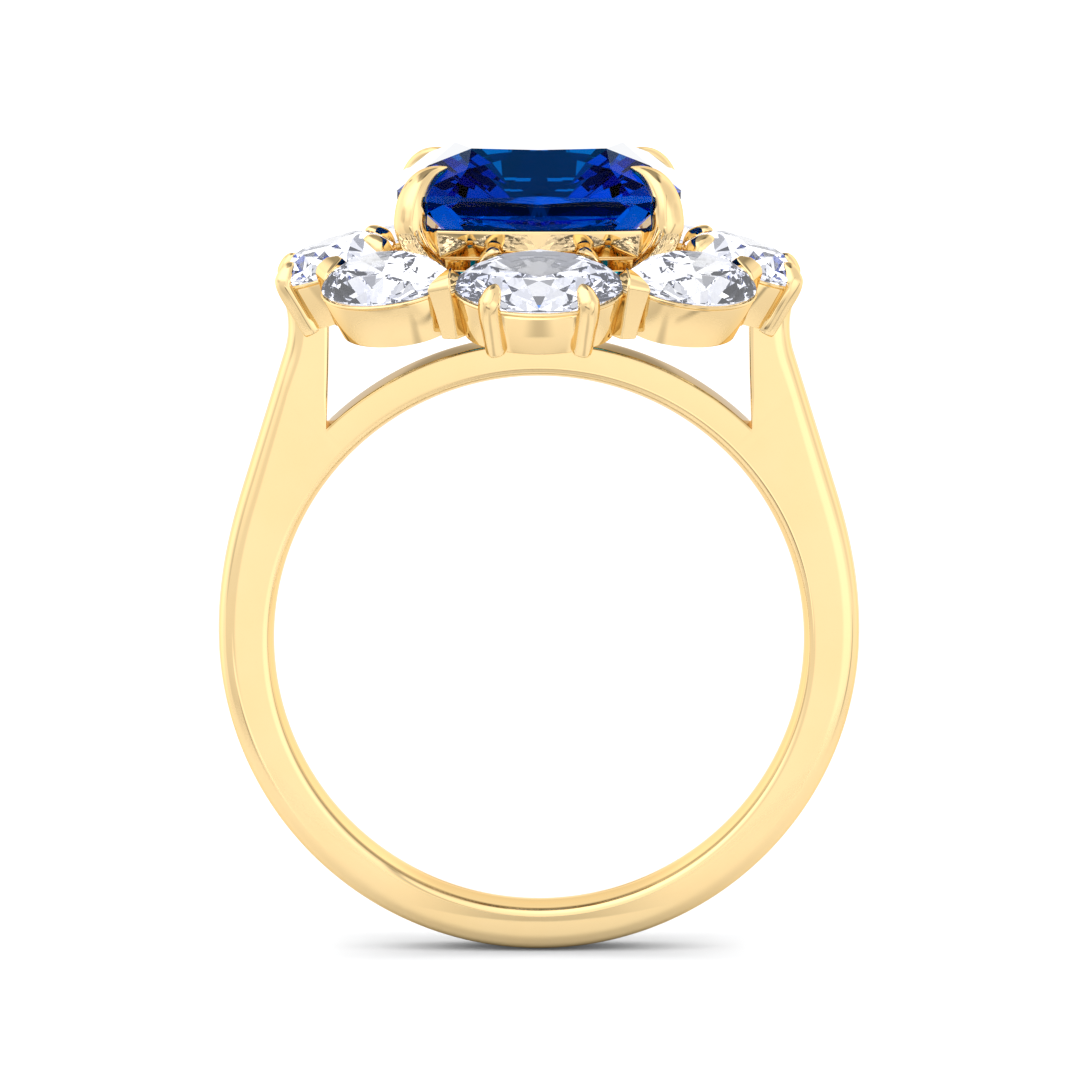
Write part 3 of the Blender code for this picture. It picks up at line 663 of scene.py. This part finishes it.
def make_centre_claw(name, number, matrix):
    """A claw of the centre basket, in its own plane: local X outward, Y across, Z up.

    Each row is the middle of the claw as (x, z), then its width and thickness there.
    """
    r = CLAW_RADIUS
    rows = [
        (CLAW_FOOT[0], CLAW_FOOT[1], 0.66, 0.50),
        (4.00, 11.80, 1.06, 0.66),
        (4.80, 12.48, 1.08, 0.84),
        (r - 0.34, 13.00, 1.02 * CLAW_WIDTH, 0.88),
        (r - 0.02, 13.55, CLAW_WIDTH, 0.90),
        (r - 0.02, 14.02, CLAW_WIDTH, 0.88),
        (r - 0.10, 14.42, 0.92 * CLAW_WIDTH, 0.80),
        (r - 0.32, 14.80, 0.82 * CLAW_WIDTH, 0.70),
        (r - 0.62, 15.07, 0.70 * CLAW_WIDTH, 0.58),
        (r - 0.94, 15.23, 0.58 * CLAW_WIDTH, 0.42),
        (r - 1.26, 15.31, 0.44 * CLAW_WIDTH, 0.28),
        (r - 1.52, 15.36, 0.22 * CLAW_WIDTH, 0.12),
    ]
    steps = 7
    path = [spline(rows, k / steps) for k in range((len(rows) - 1) * steps + 1)]
    rings = []
    across = Vector((0.0, 1.0, 0.0))
    sides = 36
    for k, (x, z, width, thick) in enumerate(path):
        before = path[max(k - 1, 0)]
        after = path[min(k + 1, len(path) - 1)]
        along = Vector((after[0] - before[0], 0.0, after[1] - before[1])).normalized()
        out = across.cross(along)
        ring = []
        for i in range(sides):
            turn = 2.0 * math.pi * i / sides
            c, s = math.cos(turn), math.sin(turn)
            u = math.copysign(abs(c) ** 0.75, c)
            v = math.copysign(abs(s) ** 0.75, s)
            ring.append(Vector((x, 0.0, z)) + across * (v * width / 2.0) + out * (u * thick / 2.0))
        rings.append(ring)
    return add_piece(loft(rings), name, matrix, ["centre_claw_%d" % number], 60.0)


def rail_outline(inset, z):
    """The rail's outline: four bowed sides joined by flat corners."""
    points = []
    half = UPPER_RAIL_HALF - inset * 0.42
    for quarter in range(4):
        turn = Matrix.Rotation(math.pi * quarter / 2.0, 3, "Z")
        for k in range(25):
            f = k / 12.0 - 1.0
            bow = UPPER_RAIL_BOW * (1.0 - f * f)
            points.append(turn @ Vector((half * f, inset - UPPER_RAIL_REACH - bow, z)))
    return points


def make_upper_rail():
    """The rail under the centre stone, with a skirt below it; each side is an inset and a height."""
    low, high = UPPER_RAIL_Z
    sides = [(0.22, low), (0.0, high - 0.12), (0.0, high), (UPPER_RAIL_WALL, high),
             (0.56, low - 0.45), (0.44, low - 0.45), (0.40, low - 0.02)]
    bm = bmesh.new()
    skin(bm, [rail_outline(inset, z) for inset, z in sides], closed=True)
    return add_piece(bm, "gallery_rail", Matrix.Identity(4), ["upper_rail"], 28.0, 0.07)


# ---------------------------------------------------------------- studio

# The studio's screens: azimuth from the front toward the right, elevation, half width and
# softness in degrees, then the change in light.
SCREENS = [
    (-45.0, -6.0, 33.0, 6.0, -0.21),
    (38.0, -5.0, 24.0, 10.0, 0.20),
    (-80.0, 6.0, 7.0, 6.0, -0.30),
    (92.0, 6.0, 8.0, 9.0, -0.18),
    (-125.0, 0.0, 22.0, 12.0, 0.16),
    (-50.0, 45.0, 34.0, 14.0, 0.42),
    (78.0, 46.0, 28.0, 16.0, -0.36),
    (180.0, 28.0, 17.0, 5.0, -0.27),
    (174.8, 6.2, 2.2, 0.8, -0.42),
    (-174.8, 6.2, 2.2, 0.8, -0.42),
    (-136.0, 28.0, 3.0, 2.0, -0.75),
    (-136.0, 38.0, 3.0, 2.0, -0.75),
]
# Straight edges between screens: two directions the edge runs through as azimuth and
# elevation, half width and softness in degrees, and the change in light.
EDGES = [
    (80.0, -8.0, 20.0, -49.0, 3.5, 3.5, -0.42),
    (-26.0, -17.0, 2.0, -29.0, 3.0, 3.0, -0.50),
    (-26.0, -11.0, -3.0, -14.0, 1.8, 1.6, 0.40),
    (3.0, 2.0, 48.0, 44.0, 1.6, 1.6, -0.45),
    (180.0, 44.0, 0.0, 80.0, 22.0, 7.0, -0.80),
]
# Gaps that only light leaving a stone meets, laid out as the screens are.
STONE_GAPS = [
    (0.0, 44.0, 21.0, 7.0, -0.93),
    (180.0, -10.0, 20.0, 6.0, -0.90),
]


def heading(azimuth, elevation):
    """The unit vector at an azimuth from the front toward the right and an elevation."""
    a, e = math.radians(azimuth), math.radians(elevation)
    return Vector((math.sin(a) * math.cos(e), -math.cos(a) * math.cos(e), math.sin(e)))


def studio_world():
    """A white studio whose screens leave soft darker gaps.

    Screens show in gold and through stones, edges in gold only, and gaps through stones only. The
    background and the light on the floor stay plain.
    """
    world = bpy.data.worlds.new("Studio")
    bpy.context.scene.world = world
    world.use_nodes = True
    net = Net(world.node_tree)
    split = net.node("ShaderNodeSeparateXYZ")
    net.put(net.node("ShaderNodeTexCoord").outputs["Generated"], split.inputs[0])
    x, y, z = split.outputs

    def along(way):
        part = net.math("ADD", net.math("MULTIPLY", x, way.x), net.math("MULTIPLY", y, way.y))
        return net.math("ADD", part, net.math("MULTIPLY", z, way.z))

    def patch(azimuth, elevation, size, soft, strength):
        near = math.cos(math.radians(max(size - soft, 0.0)))
        far = math.cos(math.radians(size + soft))
        return net.remap(along(heading(azimuth, elevation)), far, near, 0.0, strength)

    def edge(azimuth, elevation, to_azimuth, to_elevation, size, soft, strength):
        first, last = heading(azimuth, elevation), heading(to_azimuth, to_elevation)
        off = net.math("ABSOLUTE", along(first.cross(last).normalized()))
        line = net.remap(off, math.sin(math.radians(size + soft)),
                         math.sin(math.radians(max(size - soft, 0.0))), 0.0, strength)
        reach = math.degrees(first.angle(last)) / 2.0
        ends = net.remap(along((first + last).normalized()), math.cos(math.radians(reach + 6.0)),
                         math.cos(math.radians(reach)), 0.0, 1.0)
        return net.math("MULTIPLY", line, ends)

    rays = net.node("ShaderNodeLightPath")
    through = rays.outputs["Is Transmission Ray"]
    level = net.math("ADD", net.remap(z, -0.55, -0.05, 0.82, 1.04), net.remap(z, 0.0, 0.5, 0.0, 0.10))
    for screen in SCREENS:
        level = net.math("ADD", level, patch(*screen))
    lines = 0.0
    for line in EDGES:
        lines = net.math("ADD", lines, edge(*line))
    gaps = 0.0
    for gap in STONE_GAPS:
        gaps = net.math("ADD", gaps, patch(*gap))
    level = net.math("ADD", level, net.math("MULTIPLY", lines, net.math("SUBTRACT", 1.0, through)))
    level = net.math("ADD", level, net.math("MULTIPLY", gaps, through))
    level = net.math("MAXIMUM", level, 0.03)
    gain = net.math("ADD", net.math("MULTIPLY", through, STONE_GAIN), STUDIO_LEVEL)
    level = net.math("MULTIPLY", level, gain)
    plain = net.math("MAXIMUM", rays.outputs["Is Camera Ray"], rays.outputs["Is Diffuse Ray"])
    level = net.math("ADD", net.math("MULTIPLY", level, net.math("SUBTRACT", 1.0, plain)),
                     net.math("MULTIPLY", plain, PLAIN_LEVEL))
    background = net.node("ShaderNodeBackground")
    background.inputs["Color"].default_value = (1.0, 1.0, 1.0, 1.0)
    net.put(level, background.inputs["Strength"])
    output = net.node("ShaderNodeOutputWorld")
    net.put(background.outputs[0], output.inputs["Surface"])


def make_floor():
    """A plain pale floor under the ring.

    What polished gold mirrors of it is painted darker, most of all in a painted shade strip before the
    ring, and gives way to the studio further out.
    """
    half = FLOOR_HALF * MM
    level = cad_box[0].z
    bm = bmesh.new()
    corners = [(-half, -half, level), (half, -half, level), (half, half, level), (-half, half, level)]
    bm.faces.new([bm.verts.new(c) for c in corners])
    mesh = bpy.data.meshes.new("floor")
    bm.to_mesh(mesh)
    bm.free()
    material = bpy.data.materials.new("FloorPaper")
    material.use_nodes = True
    net = Net(material.node_tree)
    coords = net.node("ShaderNodeTexCoord").outputs["Object"]
    fibre = net.noise(coords, 900.0, 2.0)
    lit = net.node("ShaderNodeBsdfDiffuse")
    net.put(net.mix(fibre, (0.95, 0.95, 0.95, 1.0), (0.96, 0.96, 0.96, 1.0)), lit.inputs["Color"])
    # Painted reflection: the floor as gold mirrors it is darker than the floor itself.
    muted = net.node("ShaderNodeBsdfDiffuse")
    open_air = net.node("ShaderNodeBsdfTransparent")
    reach = net.node("ShaderNodeVectorMath", operation="LENGTH")
    net.put(coords, reach.inputs[0])
    split = net.node("ShaderNodeSeparateXYZ")
    net.put(coords, split.inputs[0])
    # Painted shade: a darker strip in front of the ring, seen only in the gold's reflections.
    shade_strip = net.remap(net.math("ABSOLUTE", split.outputs[0]), 0.0004, 0.0050, 0.66, 1.0)
    shade_strip = net.math("MAXIMUM", shade_strip, net.remap(split.outputs[1], -0.0110, -0.0080, 0.0, 1.0))
    net.put(net.math("MULTIPLY", shade_strip, FLOOR_IN_GOLD), muted.inputs["Color"])
    beyond = net.remap(reach.outputs["Value"], 0.018, 0.040, 0.0, 1.0)
    mirrored = net.node("ShaderNodeMixShader")
    net.put(beyond, mirrored.inputs[0])
    net.put(muted.outputs[0], mirrored.inputs[1])
    net.put(open_air.outputs[0], mirrored.inputs[2])
    lift = net.node("ShaderNodeEmission")
    paper = net.node("ShaderNodeMixShader")
    paper.inputs[0].default_value = 0.06
    net.put(lit.outputs[0], paper.inputs[1])
    net.put(lift.outputs[0], paper.inputs[2])
    blend = net.node("ShaderNodeMixShader")
    net.put(net.node("ShaderNodeLightPath").outputs["Is Glossy Ray"], blend.inputs[0])
    net.put(paper.outputs[0], blend.inputs[1])
    net.put(mirrored.outputs[0], blend.inputs[2])
    output = net.node("ShaderNodeOutputMaterial")
    net.put(blend.outputs[0], output.inputs["Surface"])
    mesh.materials.append(material)
    floor = bpy.data.objects.new("floor", mesh)
    bpy.context.scene.collection.objects.link(floor)


def make_camera():
    """The camera, a little above the horizon and in front."""
    data = bpy.data.cameras.new("Camera")
    camera = bpy.data.objects.new("Camera", data)
    bpy.context.scene.collection.objects.link(camera)
    tilt = math.radians(CAMERA_ELEVATION)
    place = Vector((0.0, -math.cos(tilt), math.sin(tilt))) * CAMERA_DISTANCE * MM
    camera.location = place
    aim = Vector(CAMERA_AIM) * MM - place
    camera.rotation_euler = aim.to_track_quat("-Z", "Y").to_euler()
    data.sensor_width = 36.0
    data.lens = CAMERA_LENS
    data.clip_start = 0.01
    data.clip_end = 10.0
    bpy.context.scene.camera = camera


# ---------------------------------------------------------------- assembly

# Each gold's glow is painted light, the strength of an emission shown where the gold is seen through a
# stone.
gold = gold_material("GoldPolished", False, glow=0.16)
band_gold = gold_material("GoldBand", True, glow=0.40)
halo_gold = gold_material("GoldHalo", False, glow=0.85)
# Cup interiors: pale white metal, partly real colour, with a painted-light glow where seen through a
# stone.
pale_glowing_seat = gold_material("CupInterior", False, (0.93, 0.93, 0.94), (0.90, 0.90, 0.92), 1.0)
sapphire = stone_material("Sapphire", (1.0, 1.0, 1.0), (0.90, 0.94, 1.0), 1.77,
                          (0.15, 0.40), (0.0, 0.80, 0.937), 1500.0)
diamond = stone_material("Diamond", (1.0, 1.0, 1.0), (0.965, 0.97, 1.0), 2.417, (0.35, 0.95), fire=0.022)

band = make_band()
band.data.materials[0] = band_gold

specs = [AXIS_OVAL, DIAGONAL_OVAL]
claw_number = 0
for index in range(8):
    kind = index % 2
    place = halo_frame(specs[kind], 45.0 * index)
    make_collet(specs[kind], "cup_%d" % (index + 1), place, index + 1, kind == 0)
    if kind == 0:
        for spin in (0.0, math.pi):
            for side in (1.0, -1.0):
                claw_number += 1
                make_halo_claw("petal_claw_%02d" % claw_number,
                               place @ Matrix.Rotation(spin, 4, "Z"), claw_number, side)
for index in range(8):
    near, side = divmod(index, 2)
    azimuth = 90.0 * near + (BAR_ANGLE if side == 0 else 90.0 - BAR_ANGLE)
    make_bar("link_bar_%d" % (index + 1), index + 1, Matrix.Rotation(math.radians(azimuth), 4, "Z"),
             -1.0 if side == 0 else 1.0)
for index in range(4):
    turn = Matrix.Rotation(math.radians(45.0 + 90.0 * index), 4, "Z")
    make_centre_claw("basket_claw_%d" % (index + 1), index + 1, turn)
make_upper_rail()

carried = {"base_collar": gold, "lower_rail": gold, "centre_stone": sapphire}
for index in range(1, 5):
    carried["strut_%d" % index] = gold
for index in range(1, 9):
    carried["oval_%d" % index] = diamond
for node, material in carried.items():
    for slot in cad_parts[node].material_slots:
        slot.material = material

studio_world()
make_floor()
make_camera()
view = bpy.context.scene.view_settings
view.view_transform = "Standard"
view.look = "None"
cycles = bpy.context.scene.cycles
cycles.max_bounces = 24
cycles.glossy_bounces = 8
cycles.transmission_bounces = 24
cycles.caustics_reflective = False
cycles.caustics_refractive = True
cycles.use_denoising = True
